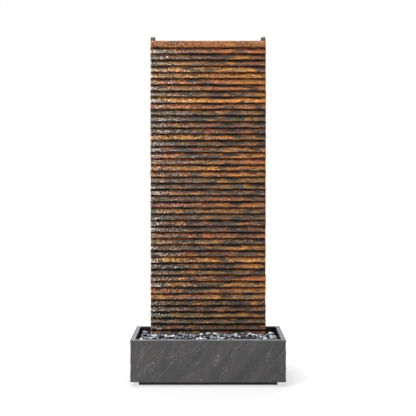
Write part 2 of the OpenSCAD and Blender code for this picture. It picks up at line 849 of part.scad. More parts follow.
// Quarter of a ring about X at [y, z], from the turn a on, the hose's bend
module hose_quarter(r, y, z, a) {
    translate([hose_x, y, z]) rotate([a, 0, 0]) rotate([0, 90, 0])
        rotate_extrude(angle = 90) translate([hose_bend, 0]) circle(r);
}

// Hose centreline: up from the pump, back under the shelf plate, then up behind the backer board
module hose_line(r) {
    low_end = hose_run_z - hose_bend;
    high_start = hose_run_z + hose_bend;
    translate([hose_x, pump_y, hose_start]) cylinder(r = r, h = low_end - hose_start);
    hose_quarter(r, pump_y + hose_bend, low_end, 180);
    translate([hose_x, 0, hose_run_z]) bar_y(r, pump_y + hose_bend, hose_y - hose_bend);
    hose_quarter(r, hose_y - hose_bend, high_start, 0);
    translate([hose_x, hose_y, high_start]) cylinder(r = r, h = hose_end - high_start);
}

module supply_hose() {
    color("#cfd4d6") difference() {
        hose_line(hose_d / 2);
        hose_line(hose_bore / 2);
        translate([hose_x, pump_y, hose_start - 1]) cylinder(r = hose_bore / 2, h = 2);
        translate([hose_x, hose_y, hose_end - 1]) cylinder(r = hose_bore / 2, h = 2);
    }
}

// Worm-drive clamps on the nozzle and on the tee's spigot: each at [y, z], with its screw turned by a
module hose_clamps() {
    color("#b9bcc0") for (p = [[pump_y, hose_start + 2, 0], [hose_y, hose_end - 14, 90]])
        translate([hose_x, p[0], p[1]]) rotate([0, 0, p[2]]) {
            difference() {
                union() {
                    cylinder(d = hose_d + 2.4, h = 8);
                    translate([-5, -hose_d / 2 - 6, 0]) cube([10, 6, 8]);
                }
                translate([0, 0, -1]) cylinder(d = hose_d + 2 * slip, h = 10);
            }
            translate([0, -hose_d / 2 - 3.6, 4]) bar_x(2.8, -9, 5);
        }
}

// Clips that hold the hose on the cross rails
module hose_clips() {
    h = 12;
    color("#2e2f31") for (z = rail_zs) translate([hose_x, hose_y, z - h / 2])
        linear_extrude(h) difference() {
            union() {
                circle(hose_d / 2 + 1.8);
                translate([-hose_d / 2 - 4, rail_back - hose_y]) square([hose_d + 8, 2.4]);
            }
            circle(hose_d / 2 + slip);
            translate([-hose_d / 4, 0]) square([hose_d / 2, hose_d]);
        }
}

// Pump: drawn with its axis along X and the chamber's middle at x = 0

module at_pump() {
    translate([hose_x, pump_y, pump_z]) children();
}

well_r = 12;
well_end = chamber_len / 2 + motor_len - 12;

module pump_motor() {
    x0 = chamber_len / 2;
    groove_w = 4;
    groove_deep = 1.5;
    groove_end = 12;
    color("#1f2224") at_pump() difference() {
        translate([x0, 0, 0]) rotate([90, 0, 90]) linear_extrude(motor_len)
            round_rect(motor_size, motor_size, 9);
        bar_x(well_r, x0 - 1, well_end);
        bar_x(shaft_r + 0.02, well_end - 1, well_end + 6);
        // Cooling grooves down both sides
        for (k = [0:4], s = [-1, 1])
            translate([x0 + 10 + k * 10, s * motor_size / 2 - groove_deep, -motor_size / 2 + groove_end])
                cube([groove_w, 2 * groove_deep, motor_size - 2 * groove_end]);
    }
}

module pump_chamber() {
    x0 = -chamber_len / 2;
    x1 = chamber_len / 2;
    hub_r = 4.5;
    spoke_t = 2;
    color("#26292b") at_pump() {
        // Front wall with its eye: a hub on three spokes holds the shaft's front end
        translate([x0, 0, 0]) rotate([0, 90, 0]) linear_extrude(chamber_wall) difference() {
            circle(chamber_r);
            difference() {
                circle(eye_r);
                circle(hub_r);
                for (a = [0:120:240]) rotate(a) translate([0, -spoke_t / 2]) square([eye_r + 1, spoke_t]);
            }
            circle(shaft_r + 0.02);
        }
        difference() {
            union() {
                bar_x(chamber_r, x0 + chamber_wall, x1);
                translate([0, 0, impeller_r]) cylinder(r = 10, h = boss_top - impeller_r);
            }
            bar_x(impeller_r + 2, x0 + chamber_wall, x1 + 1);
            translate([0, 0, impeller_r - 2]) cylinder(r = boss_bore, h = boss_top);
        }
    }
}

module pump_shaft() {
    color("#e8e6df") at_pump() bar_x(shaft_r, -chamber_len / 2 + 0.3, well_end + 5.7);
}

module pump_rotor() {
    hub_x = -chamber_len / 2 + 3.6;
    color("#d9dadb") at_pump() difference() {
        union() {
            bar_x(well_r - 0.8, chamber_len / 2 + 1.5, well_end - 0.6);
            bar_x(5.5, hub_x, chamber_len / 2 + 2);
            bar_x(impeller_r, chamber_len / 2 - 4, chamber_len / 2 - 2);
            for (a = [0:360 / blade_count:359]) rotate([a, 0, 0])
                translate([hub_x, -0.9, 4]) cube([chamber_len - 6, 1.8, impeller_r - 4.5]);
        }
        bar_x(shaft_r + running_gap, hub_x - 1, well_end + 1);
    }
}

// Slotted intake cage with three windows in its front, and the pin that the dial turns on
module pump_intake_cage() {
    x1 = -chamber_len / 2;
    x0 = x1 - cage_len;
    slots = 20;
    color("#26292b") at_pump() {
        difference() {
            bar_x(chamber_r, x0, x1);
            bar_x(chamber_r - cage_t, x0 + cage_t, x1 + 1);
            for (k = [0:slots - 1]) rotate([360 * (k + 0.5) / slots, 0, 0])
                translate([x0 + 5, -1.4, chamber_r - 5]) cube([cage_len - 9, 2.8, 8]);
            dial_windows(x0 - 1, x0 + cage_t + 1);
        }
        bar_x(dial_pin_r, x0 - dial_t - 0.6, x0 + 1);
        bar_x(dial_pin_r + 1.6, x0 - dial_t - 2, x0 - dial_t - 0.4);
    }
}

module dial_windows(x0, x1) {
    for (a = [0:120:240]) rotate([a + 30, 0, 0]) translate([0, 0, dial_window_r]) bar_x(3.2, x0, x1);
}

module pump_flow_dial() {
    x1 = -chamber_len / 2 - cage_len - 0.2;
    color("#3f6f86") at_pump() difference() {
        union() {
            bar_x(dial_r, x1 - dial_t, x1);
            // Two finger bars
            for (s = [-1, 1]) translate([x1 - dial_t - 4, -1.5, s * 10.5 - 4]) cube([5, 3, 8]);
        }
        bar_x(dial_pin_r + running_gap, x1 - dial_t - 5, x1 + 1);
        dial_windows(x1 - dial_t - 1, x1 + 1);
    }
}

module pump_nozzle() {
    r = hose_bore / 2 - slip;
    color("#26292b") at_pump() difference() {
        union() {
            translate([0, 0, boss_top]) cylinder(r = 11, h = nozzle_rim);
            translate([0, 0, boss_top - 6]) cylinder(r = boss_bore - slip, h = 7);
            translate([0, 0, boss_top + 2]) cylinder(r = r - 0.7, h = nozzle_rim + nozzle_len - 2);
            // Barbs
            for (k = [0:2]) translate([0, 0, boss_top + nozzle_rim + 1 + k * 3.6])
                cylinder(r1 = r, r2 = r - 0.7, h = 3);
        }
        translate([0, 0, boss_top - 7]) cylinder(r = 4.2, h = nozzle_len + 14);
    }
}

module pump_feet() {
    x0 = chamber_len / 2;
    color("#17181a") at_pump() for (x = [x0 + 11, x0 + motor_len - 11], y = [-1, 1])
        translate([x, y * (motor_size / 2 - 11), -motor_size / 2 - foot_h]) difference() {
            union() {
                cylinder(r1 = 9, r2 = 5, h = foot_h / 2);
                cylinder(r = 5, h = foot_h);
            }
            translate([0, 0, -1]) cylinder(r1 = 7, r2 = 1, h = 3);
        }
}

module pump_cable_gland() {
    x0 = chamber_len / 2 + motor_len;
    color("#17181a") at_pump() difference() {
        union() {
            bar_x(8, x0, x0 + 4);
            bar_x(6, x0 + 3, x0 + 12);
        }
        bar_x(3.5, x0 + 5, x0 + 13);
    }
}

basin_plinth();
basin_shell();
basin_liner();
cable_notch_trim();
drain_fitting();
drain_gasket();
drain_locknut();
drain_plug();
drain_plug_seal();
pebble_tray();
tray_skirts();
tray_legs();
tray_feet();
pebbles_front();
pebbles_left();
pebbles_right();
post_flanges();
flange_screws();
post_left();
post_right();
post_cap_left();
post_cap_right();
shelf_collars();
slate_shelf();
cross_rails();
backer_board();
backer_screws();
rear_cover();
cover_screws();
top_trough();
spray_tee();
tee_locknut();
spray_bars();
spray_bar_caps();
supply_hose();
hose_clamps();
hose_clips();
pump_motor();
pump_chamber();
pump_shaft();
pump_rotor();
pump_intake_cage();
pump_flow_dial();
pump_nozzle();
pump_feet();
pump_cable_gland();
slate_cap();
for (i = [0:course_sets - 1])
    slate_courses(i);
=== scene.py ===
import math
import random
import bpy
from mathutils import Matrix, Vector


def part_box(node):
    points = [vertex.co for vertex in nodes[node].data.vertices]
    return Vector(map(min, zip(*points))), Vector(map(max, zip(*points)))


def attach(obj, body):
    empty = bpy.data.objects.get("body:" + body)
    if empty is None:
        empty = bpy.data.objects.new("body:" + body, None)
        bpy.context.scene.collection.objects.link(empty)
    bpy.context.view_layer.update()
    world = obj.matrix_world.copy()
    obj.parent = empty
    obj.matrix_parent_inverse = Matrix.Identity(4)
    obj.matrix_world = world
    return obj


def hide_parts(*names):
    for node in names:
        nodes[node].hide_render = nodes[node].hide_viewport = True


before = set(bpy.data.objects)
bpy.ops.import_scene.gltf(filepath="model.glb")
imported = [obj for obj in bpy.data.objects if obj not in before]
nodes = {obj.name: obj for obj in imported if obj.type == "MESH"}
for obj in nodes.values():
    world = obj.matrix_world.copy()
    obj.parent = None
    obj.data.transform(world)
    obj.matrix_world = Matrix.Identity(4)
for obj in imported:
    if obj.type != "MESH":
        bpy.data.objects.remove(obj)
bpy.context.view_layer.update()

from types import SimpleNamespace

import bmesh
import bpy
from mathutils import Matrix, Vector

MM = 0.001
SAME = 1e-5        # two places nearer than this are one place

# Slate wall, from the frame
COURSE_SETS = sorted(name for name in nodes if name.startswith("slate_courses_"))
COURSES_IN_SET = 4
COURSE_JOINT = 0.4 * MM
wall_low, wall_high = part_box(COURSE_SETS[0])
cap_low, cap_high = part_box("slate_cap")
COURSE_PITCH = (wall_high.z - wall_low.z + COURSE_JOINT) / COURSES_IN_SET
COURSE_HEIGHT = COURSE_PITCH - COURSE_JOINT
SLATE_BACK = wall_high.y
SLATE_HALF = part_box("slate_shelf")[1].x

# One course before it is fitted: how far each level of its face stands forward, and how high, in
# mm, from the underside's back edge round the lip to the top's back edge
BLANK_LIP = 23 * MM
COURSE_FACE = [(0, 0), (9, 0), (16, 0), (19.6, 0.3), (21.8, 1), (22.8, 2.2), (23, 4), (23, 6),
               (22, 8.4), (20.6, 11), (19, 13.8), (17.4, 16.6), (15.8, 19.6), (14.2, 22.4),
               (12.8, 25.4), (12, 28.6), (11.2, 30.6), (10.6, 32.1), (5, 32.1), (0, 32.1)]
CAP_FACE = [(0, 0), (9, 0), (17, 0), (20, 0.8), (22, 3), (22.6, 6.4),
            *[(23, 10 + 3.6 * row) for row in range(6)],
            (22.4, 31.4), (20.6, 33.8), (17, 35.1), (9, 35.5), (0, 35.5)]
# A course is cut along its length into 80 columns and each of them into 3, because one call makes
# at most 100 cuts
COLUMNS = (80, 3)
KNAPPED_END = 7 * MM
# The painted highlight on the left ends is full this far from the end
PALE_END = 2 * MM
LIP_TOP = 7 * MM
# Nothing breaks off the first few mm in front of the slate's back, and all of it does further out
BACK_KEPT = 4 * MM
BACK_FADES = 8 * MM
# Each course's width is drawn from between these shares of the blank's
COURSE_WIDTHS = (1.0, 1.006)
# Edges sharper than so many degrees stay crisp. River stones have none
SLATE_EDGE_ANGLE = 50
BASIN_EDGE_ANGLE = 40
STONE_EDGE_ANGLE = 180

# The stone of each course, from the top one down
STONES_DOWN = """
ember coal smoke flame amber clay plum storm flame clay storm shale rust smoke amber smoke
rust clay plum amber clay storm shale rust smoke clay storm shale rust smoke rose fern
smoke coal flame coal storm ember heather clay heather coal smoke storm shale coal smoke shale
""".split()

# The colours of the split slate: the stone on the left and on the right, its streaks, its flecks.
# The top course also has how wet it is, which sets its coat and painted glints, and how much of it
# iron has left unstained
SLATE_STONES = {
    "ember": ("#6e3e18", "#c0661c", "#2c2018", "#e6a866"),
    "rust": ("#7e4424", "#5c544c", "#3c4149", "#d09c70"),
    "smoke": ("#303030", "#7e4620", "#54462e", "#b8946a"),
    "amber": ("#b48030", "#a06828", "#4d3016", "#fccc80"),
    "heather": ("#94501e", "#746a54", "#a86e24", "#d4a676"),
    "plum": ("#5c5044", "#945a2c", "#a26c26", "#d8a468"),
    "fern": ("#b08238", "#645a48", "#352f27", "#d4ac6c"),
    "flame": ("#dc922c", "#e08a24", "#8e7f5c", "#ffe098"),
    "clay": ("#9c4e1e", "#b0742c", "#2f2d2b", "#e6a464"),
    "storm": ("#383733", "#866436", "#8e662c", "#a68e60"),
    "shale": ("#2c2d2d", "#544b3a", "#84642e", "#827660"),
    "rose": ("#7c4a2e", "#864c26", "#452e26", "#dc986a"),
    "coal": ("#2e2012", "#6a3e16", "#241c14", "#a47c4a"),
    "cap": ("#9c5c18", "#985818", "#744a1a", "#d49044", 0.6, 0.12),
}
# Each stone reads its own part of the patterns, this far from the next one's
STONES_APART = 1.7
# Chisel marks, and the water with its painted glints, grow from the first of these places across
# the wall to the second
GROWS_LEFT = (0.05, -0.28)

# Basin shell
shell_low, shell_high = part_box("basin_shell")
SHELL_WALL = 18 * MM
RIM_LAP = 8 * MM
RIM_THICK = 4 * MM
SHELL_FLOOR = 14 * MM
CORNER_CUT = 5 * MM
FACE_STEP = 5 * MM
NOTCH_EASE = 0.1 * MM
DRAIN_FLANGE = 4 * MM
DRAIN_BORE = 24.2 * MM
# The faces keep this share of their relief at the top and bottom edge, and all of it further in
EDGE_RELIEF = 0.25
EDGE_FADES = 20 * MM
shell_inner = Vector((shell_high.x - SHELL_WALL, shell_high.y - SHELL_WALL, 0))
# Cutters reach past the shell, each to a place of its own, so that no two cuts share a plane
CUT_TOP = shell_high.z + 20 * MM
CUT_PAST = 5 * MM

# River stones are this much taller than the low solids that stand for them in the frame. They turn
# about each axis by so many radians at most
STONE_PLUMP = 1.3
STONE_SIZES = (0.9, 1.05)
STONE_TURNS = (("Z", 0.45), ("X", 0.25), ("Y", 0.2))

# Lamps: where each hangs, where it points, its size in metres and its watts
LAMPS = {
    "key": ((-2.2, -2.4, 3.8), (0, 0, 0.8), (1.7, 1.4), 200),
    "fill": ((2.8, -3.2, 2.0), (0, 0, 0.8), (2.5, 2.5), 26),
    "top": ((-0.4, 0.3, 4.4), (0, 0, 0), (2.6, 2.6), 130),
}

# The photograph's camera, which looks a little down
CAMERA_AT = (-0.0006, -3.723, 1.038)
CAMERA_DOWN = 0.016
CAMERA_LENS = 62.2
CAMERA_SHIFT = -0.0449

random.seed(5)


def linear(hex_colour):
    """An sRGB hex colour as the linear colour that a shader reads."""
    shares = [int(hex_colour[i:i + 2], 16) / 255 for i in (1, 3, 5)]
    return (*((s / 12.92 if s <= 0.04045 else ((s + 0.055) / 1.055) ** 2.4) for s in shares), 1.0)


def feed(tree, made, inputs):
    """Gives each named socket a value, or the output of another node."""
    for name, value in inputs.items():
        if isinstance(value, bpy.types.Node):
            # A node that mixes colours has its colour at output 2
            value = (value, 2 if value.bl_idname == "ShaderNodeMix" else 0)
        if isinstance(value, tuple) and isinstance(value[0], bpy.types.Node):
            source, output = value
            tree.links.new(source.outputs[output], made.inputs[name])
        else:
            made.inputs[name].default_value = value


def add(tree, kind, inputs=None, stops=None, **settings):
    """Adds a shader node with its settings and links, and a ramp's stops."""
    made = tree.nodes.new("ShaderNode" + kind)
    for name, value in settings.items():
        setattr(made, name, value)
    feed(tree, made, inputs or {})
    for i, (place, colour) in enumerate(stops or []):
        elements = made.color_ramp.elements
        element = elements[i] if i < 2 else elements.new(place)
        element.position = place
        element.color = linear(colour)
    return made


def mix(tree, share, first, second, blend="MIX"):
    """A share of the second colour over the first one. The node that mixes colours takes its
    share at input 0 and the two colours at 6 and 7."""
    return add(tree, "Mix", {0: share, 6: first, 7: second}, data_type="RGBA", blend_type=blend)


def noise(tree, place, scale, detail, roughness=0.5, distortion=0.0):
    """A cloudy random pattern."""
    return add(tree, "TexNoise", {"Vector": place, "Scale": scale, "Detail": detail,
                                  "Roughness": roughness, "Distortion": distortion})


def remap(tree, value, start, end, low=0.0, high=1.0):
    """Low where the value is at start, high where it is at end, and no further either way."""
    return add(tree, "MapRange", {0: value, 1: start, 2: end, 3: low, 4: high})


def maths(tree, operation, *values):
    return add(tree, "Math", dict(enumerate(values)), operation=operation)


def tones(tree, value, *stops):
    """Colours that follow a value, one at each stop."""
    return add(tree, "ValToRGB", {0: value}, stops=stops)


def bump(tree, height, strength, distance, over=None):
    """A pattern as fine relief, which may lie over a coarser one."""
    made = add(tree, "Bump", {"Height": height, "Strength": strength, "Distance": distance})
    if over is not None:
        feed(tree, made, {"Normal": over})
    return made


def point_value(tree, name):
    """A value that the mesh holds at each of its points."""
    return add(tree, "Attribute", attribute_name=name), "Fac"


def new_finish(name, colour, roughness, metallic=0.0, **sockets):
    """A new material: it, its tree, its shader and the place on the object that patterns read."""
    made = bpy.data.materials.new(name)
    made.use_nodes = True
    tree = made.node_tree
    shader = tree.nodes["Principled BSDF"]
    feed(tree, shader, {"Base Color": linear(colour), "Roughness": roughness, "Metallic": metallic})
    feed(tree, shader, {socket.replace("_", " "): value for socket, value in sockets.items()})
    return made, tree, shader, (add(tree, "TexCoord"), "Object")


def slate_marks(tree, place, own_part):
    """The patterns that a slate's colours, relief and water film follow."""
    sides = add(tree, "SeparateXYZ", {0: place})
    long_way = add(tree, "Mapping", {"Vector": place, "Scale": (1, 1, 4.2), "Location": own_part})
    # Layers of the stone: level streaks, 2 to 5 mm high and 45 to 100 mm long
    layered = add(tree, "Mapping", {"Vector": place, "Scale": (4.5, 9, 95)})
    # Chisel scales, about 12 by 6 mm, that climb to the right
    slanted = add(tree, "Mapping", {"Vector": place, "Rotation": (0, math.radians(-40), 0),
                                    "Scale": (12.5 * MM, 10 * MM, 6 * MM)}, vector_type="TEXTURE")
    return SimpleNamespace(
        across=(sides, "X"),
        up=(sides, "Z"),
        lip=point_value(tree, "height"),
        patches=noise(tree, long_way, 9.0, 6.0, 0.66),
        stains=noise(tree, long_way, 7.0, 6.0, 0.6, 0.8),
        unstained=noise(tree, long_way, 9.0, 6.0, 0.6, 0.5),
        layers=noise(tree, layered, 2.2, 6.0, 0.6),
        clefts=noise(tree, layered, 5.0, 7.0, 0.7),
        scales=noise(tree, slanted, 1.0, 2.5),
        drops=noise(tree, slanted, 1.5, 2.0, 0.6))


def slate_colour(tree, marks, left, right, streak, fleck, bareness):
    """The stone's colours: its two sides, stains, streaks, chisel scales and bare patches, with
    painted shade in the scales' pits and a painted highlight on its left ends.
    """
    drift = remap(tree, marks.across, -0.3, 0.3, -0.14, 0.14)
    side_share = remap(tree, maths(tree, "ADD", marks.patches, drift), 0.42, 0.56)
    body = mix(tree, side_share, linear(left), linear(right))
    rust = remap(tree, marks.stains, 0.54, 0.61, high=0.7)
    rusty = mix(tree, rust, body, linear("#c46812"))
    ochre = remap(tree, marks.stains, 0.46, 0.4, high=0.85)
    tinted = mix(tree, ochre, rusty, linear("#d8921e"))
    streaked = mix(tree, remap(tree, marks.layers, 0.49, 0.62, high=0.9), tinted, linear(streak))
    # Scales are bright where freshly split, and their deep parts are painted dark as shade, most of
    # all towards the left end
    chiselled = remap(tree, marks.across, *GROWS_LEFT, low=0.45)
    fresh = maths(tree, "MULTIPLY", remap(tree, marks.scales, 0.54, 0.62), chiselled)
    flecked = mix(tree, fresh, streaked, linear(fleck))
    # Blue-grey and charcoal patches, where no iron has stained the stone
    blue = remap(tree, marks.unstained, 0.43, 0.39, high=0.6 * bareness)
    greyed = mix(tree, blue, flecked, linear("#50565a"))
    bare = remap(tree, marks.unstained, 0.525, 0.555, high=0.9 * bareness)
    patched = mix(tree, bare, greyed, linear("#25282a"))
    deep_scale_shade = tones(tree, marks.scales, (0.42, "#2e2014"), (0.54, "#fffaf0"))
    scale_shaded = mix(tree, chiselled, patched, deep_scale_shade, "MULTIPLY")
    # Painted highlight: the left ends, which face the key lamp, are painted paler
    lit_left_end = remap(tree, marks.across, KNAPPED_END - SLATE_HALF, PALE_END - SLATE_HALF, high=0.6)
    return mix(tree, lit_left_end, scale_shaded, linear(fleck))


def slate_bloom_and_shade(tree, marks, stone):
    """A thin bloom of lime from the water, and painted shade: the neck under the lip above is
    painted dark, as the lip above shades it, to an uneven line."""
    bloomed = mix(tree, 0.03, stone, linear("#b39a7c"))
    line = maths(tree, "MULTIPLY_ADD", marks.unstained, -0.9, 0.45)
    under_lip_shade = maths(tree, "ADD", marks.lip, line)
    # Painted shade: the upper neck of each course is darkened, as the lip above shades it
    painted_neck_shade = tones(tree, under_lip_shade, (0.13, "#9a7c5a"), (0.36, "#ae9474"), (0.62, "#e8dece"))
    return mix(tree, 1.0, bloomed, painted_neck_shade, "MULTIPLY")


def slate_film_and_glints(tree, marks, wetness_and_glints):
    """How thick the water's drops and runs lie, which sets the coat and the painted glints: more on
    the left, towards the key lamp, higher up and out on the lips.
    """
    wet_and_lit_side = remap(tree, marks.across, *GROWS_LEFT, low=0.8, high=wetness_and_glints)
    higher = remap(tree, marks.up, 0.3, 1.6, 0.61, 0.65)
    wetter = maths(tree, "MULTIPLY_ADD", marks.patches, 0.7, higher)
    out_front = remap(tree, marks.lip, 0.3, 0.7, low=0.86)
    soaked = maths(tree, "MULTIPLY", wetter, out_front)
    wet = maths(tree, "MULTIPLY", wet_and_lit_side, soaked)
    return maths(tree, "MULTIPLY", marks.drops, wet)


def split_slate(name, left, right, streak, fleck, wetness_and_glints=1.0, bareness=1.0):
    """Split slate, wet: iron-stained cleft stone whose rough face shows its layers as fine level
    streaks. Its water film runs thickest on the left, towards the key lamp, where it has painted
    glints."""
    made, tree, shader, place = new_finish("split_slate_" + name, left, 0.5, IOR=1.5, Coat_IOR=1.33)
    own_part = (0, STONES_APART * list(SLATE_STONES).index(name), 0)
    marks = slate_marks(tree, place, own_part)
    stone = slate_colour(tree, marks, left, right, streak, fleck, bareness)
    film = slate_film_and_glints(tree, marks, wetness_and_glints)
    # Painted highlights: near-white glints are painted into the colour where the water film is
    # thickest
    painted_glint = remap(tree, film, 0.585, 0.625)
    rough = bump(tree, marks.clefts, 1.0, 3 * MM)
    feed(tree, shader, {
        "Base Color": mix(tree, painted_glint, slate_bloom_and_shade(tree, marks, stone), linear("#efe6da")),
        "Normal": bump(tree, marks.scales, 0.8, 4 * MM, rough),
        "Specular IOR Level": remap(tree, marks.lip, 0.2, 0.6, 0.18, 0.5),
        "Coat Weight": remap(tree, film, 0.3, 0.6, high=0.34),
        "Coat Roughness": 0.1,
        "Coat Normal": bump(tree, marks.drops, 1.0, 4 * MM, rough)})
    return made


def basin_slate():
    """Cleft slate, brushed: dark grey, dull, with fine pale veins and cloudy bands that climb to
    the right. The rim's top is sawn and honed, which leaves it paler."""
    made, tree, shader, place = new_finish("cleft_slate_grey", "#4f4d4e", 0.62, IOR=1.5)
    climb = {"Vector": place, "Rotation": (0, math.radians(-52), math.radians(20))}
    band_way = add(tree, "Mapping", {**climb, "Scale": (0.4, 0.1, 0.07)}, vector_type="TEXTURE")
    vein_way = add(tree, "Mapping", {**climb, "Scale": (0.2, 0.2, 0.06)}, vector_type="TEXTURE")
    clouds = noise(tree, band_way, 1.0, 7.0, 0.62)
    veined = tones(tree, clouds, (0.3, "#363435"), (0.5, "#413f3f"), (0.72, "#4e4b49"))
    # Long veins, then hairlines
    for scale, width, strength in ((0.6, 0.006, 0.4), (1.5, 0.009, 0.2)):
        way = noise(tree, vein_way, scale, 5.0, 0.6, 0.4)
        off = maths(tree, "ABSOLUTE", maths(tree, "SUBTRACT", way, 0.5))
        broken = remap(tree, clouds, 0.38, 0.58, high=strength)
        share = maths(tree, "MULTIPLY", remap(tree, off, width, 0.0), broken)
        veined = mix(tree, share, veined, linear("#a3a1a3"))
    height = (add(tree, "SeparateXYZ", {0: place}), "Z")
    rim_z = shell_high.z
    honed = remap(tree, height, rim_z - 0.6 * MM, rim_z - 0.1 * MM, high=0.8)
    rimmed = mix(tree, honed, veined, linear("#9b999a"))
    grit = noise(tree, place, 230.0, 3.0)
    grit_tone = tones(tree, grit, (0.3, "#b4b4b4"), (0.7, "#ffffff"))
    cleft = bump(tree, noise(tree, band_way, 7.0, 6.0, 0.65), 0.7, 3 * MM)
    feed(tree, shader, {"Base Color": mix(tree, 0.7, rimmed, grit_tone, "MULTIPLY"),
                        "Normal": bump(tree, grit, 0.4, 0.8 * MM, cleft)})
    return made


def river_stone():
    """Polished river pebbles: dark basalt and blue-grey stones, a few pale, all glossy. Their lower
    halves are painted dark as shade."""
    made, tree, shader, place = new_finish("river_stone", "#4b4f57", 0.2, IOR=1.54, Coat_Weight=0.6,
                                           Coat_Roughness=0.05)
    body = tones(tree, point_value(tree, "tint"), (0.0, "#191b1e"), (0.25, "#3e444d"),
                 (0.48, "#757e89"), (0.72, "#b4bbc4"), (0.92, "#e2e4e8"), (1.0, "#e0d2ba"))
    clouds = noise(tree, place, 60.0, 4.0)
    cloud_tone = tones(tree, clouds, (0.3, "#a8a8a8"), (0.7, "#ffffff"))
    # Painted shade: each stone's lower half is darkened
    painted_underside_shade = tones(tree, point_value(tree, "painted_lit_height"), (0.0, "#242426"), (0.25, "#7c7c7e"),
                     (0.55, "#ffffff"))
    clouded = mix(tree, 0.7, body, cloud_tone, "MULTIPLY")
    feed(tree, shader, {"Base Color": mix(tree, 1.0, clouded, painted_underside_shade, "MULTIPLY"),
                        "Normal": bump(tree, clouds, 0.15, 2 * MM)})
    return made


def brushed(name, colour, roughness, grain_scale):
    """Brushed or rolled metal: fine parallel scratches that stretch its highlights."""
    made, tree, shader, place = new_finish(name, colour, roughness, metallic=1.0)
    along = add(tree, "Mapping", {"Vector": place, "Scale": grain_scale})
    scratches = noise(tree, along, 6.0, 5.0, 0.7)
    uneven = remap(tree, scratches, 0.3, 0.7, roughness * 0.75, roughness * 1.25)
    feed(tree, shader, {"Roughness": uneven, "Normal": bump(tree, scratches, 0.15, 0.4 * MM)})
    return made


def zinc_steel():
    """Hot-dip galvanised steel: dull grey with pale and dark spangle crystals, 8 mm wide."""
    made, tree, shader, place = new_finish("galvanised_steel", "#8f9498", 0.45, metallic=0.9)
    spangle = add(tree, "TexVoronoi", {"Vector": place, "Scale": 120.0})
    crystals = tones(tree, (spangle, "Color"), (0.1, "#7c8287"), (0.9, "#a6abaf"))
    feed(tree, shader, {"Base Color": crystals,
                        "Roughness": remap(tree, (spangle, "Distance"), 0.0, 0.9, 0.35, 0.55)})
    return made


def moulded(name, colour, roughness, grain=420.0, depth=0.12, **sockets):
    """Moulded plastic or rubber: an even colour under the fine grain that its mould left."""
    made, tree, shader, place = new_finish(name, colour, roughness, **sockets)
    texture = noise(tree, place, grain, 3.0)
    dust = noise(tree, place, 14.0, 5.0)
    tone = tones(tree, dust, (0.3, "#dcdcdc"), (0.75, "#ffffff"))
    uneven = remap(tree, dust, 0.3, 0.7, roughness * 0.85, roughness * 1.15)
    feed(tree, shader, {"Base Color": mix(tree, 1.0, linear(colour), tone, "MULTIPLY"),
                        "Roughness": uneven,
                        "Normal": bump(tree, texture, depth, 0.4 * MM)})
    return made


def powder_coat(name, colour, roughness):
    """Powder coat on sheet steel: satin, with its faint orange-peel texture, 1.5 mm across."""
    return moulded(name, colour, roughness, grain=640.0, depth=0.25, Coat_Weight=0.15,
                   Coat_Roughness=0.3)


def liner_plastic():
    """Rotomoulded polyethylene: black and wet inside. The top of its flange is painted grey with
    scuffs, as painted light where the lamps fall on it.
    """
    made, tree, shader, place = new_finish("polyethylene_liner", "#131315", 0.38)
    height = (add(tree, "SeparateXYZ", {0: place}), "Z")
    flange_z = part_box("basin_liner")[1].z
    # Painted light: the flange's top is painted grey over the black
    share = remap(tree, height, flange_z - 1.2 * MM, flange_z - 0.2 * MM)
    scuffs = noise(tree, place, 70.0, 5.0, 0.65)
    lit_flange_tone = tones(tree, scuffs, (0.3, "#7a7a7e"), (0.7, "#9c9ca0"))
    feed(tree, shader, {"Base Color": mix(tree, share, linear("#0f0f11"), lit_flange_tone),
                        "Normal": bump(tree, scuffs, 0.2, 0.6 * MM)})
    return made


def fibre_cement():
    """Fibre cement board: pale warm grey, matt, flecked, with the marks of its mesh facing."""
    made, tree, shader, place = new_finish("fibre_cement", "#a09d96", 0.92)
    flecks = noise(tree, place, 180.0, 6.0, 0.75)
    feed(tree, shader, {"Base Color": tones(tree, flecks, (0.3, "#8b8881"), (0.7, "#b1aea7")),
                        "Normal": bump(tree, flecks, 0.5, 0.8 * MM)})
    return made


def clear_hose():
    """Clear vinyl hose: faintly green, glossy, see-through with a milky wall."""
    made, tree, shader, place = new_finish("clear_vinyl", "#dfe8e4", 0.16, IOR=1.53,
                                           Transmission_Weight=0.75, Coat_Weight=0.3)
    milk = noise(tree, place, 40.0, 3.0)
    feed(tree, shader, {"Roughness": remap(tree, milk, 0.3, 0.7, 0.1, 0.24)})
    return made


def paint(names, material):
    """Gives CAD nodes their material, in every slot."""
    for name in names:
        mesh = nodes[name].data
        mesh.materials.clear()
        mesh.materials.append(material)


def deselect():
    if bpy.context.object and bpy.context.object.mode != "OBJECT":
        bpy.ops.object.mode_set(mode="OBJECT")
    bpy.ops.object.select_all(action="DESELECT")


def choose(obj):
    """Selects one object alone and makes it the active one."""
    deselect()
    obj.select_set(True)
    bpy.context.view_layer.objects.active = obj


def pick(obj, kind, test):
    """In edit mode, selects only the verts, edges or faces whose middle passes the test."""
    bpy.ops.mesh.select_mode(type={"verts": "VERT", "edges": "EDGE", "faces": "FACE"}[kind])
    bpy.ops.mesh.select_all(action="DESELECT")
    mesh = bmesh.from_edit_mesh(obj.data)
    for item in getattr(mesh, kind):
        if kind == "verts":
            middle = item.co
        elif kind == "edges":
            middle = (item.verts[0].co + item.verts[1].co) / 2
        else:
            middle = item.calc_center_median()
        if test(item, middle):
            item.select_set(True)
    mesh.select_flush_mode()
    bmesh.update_edit_mesh(obj.data)


def runs_along(item, axis):
    run = item.verts[1].co - item.verts[0].co
    return abs(run[axis]) > 0.99 * run.length


def subdivide_along(obj, axis, parts):
    """Cuts every edge along an axis into so many parts. One call makes 100 cuts at most."""
    pick(obj, "edges", lambda e, m: runs_along(e, axis))
    bpy.ops.mesh.subdivide(number_cuts=parts - 1)


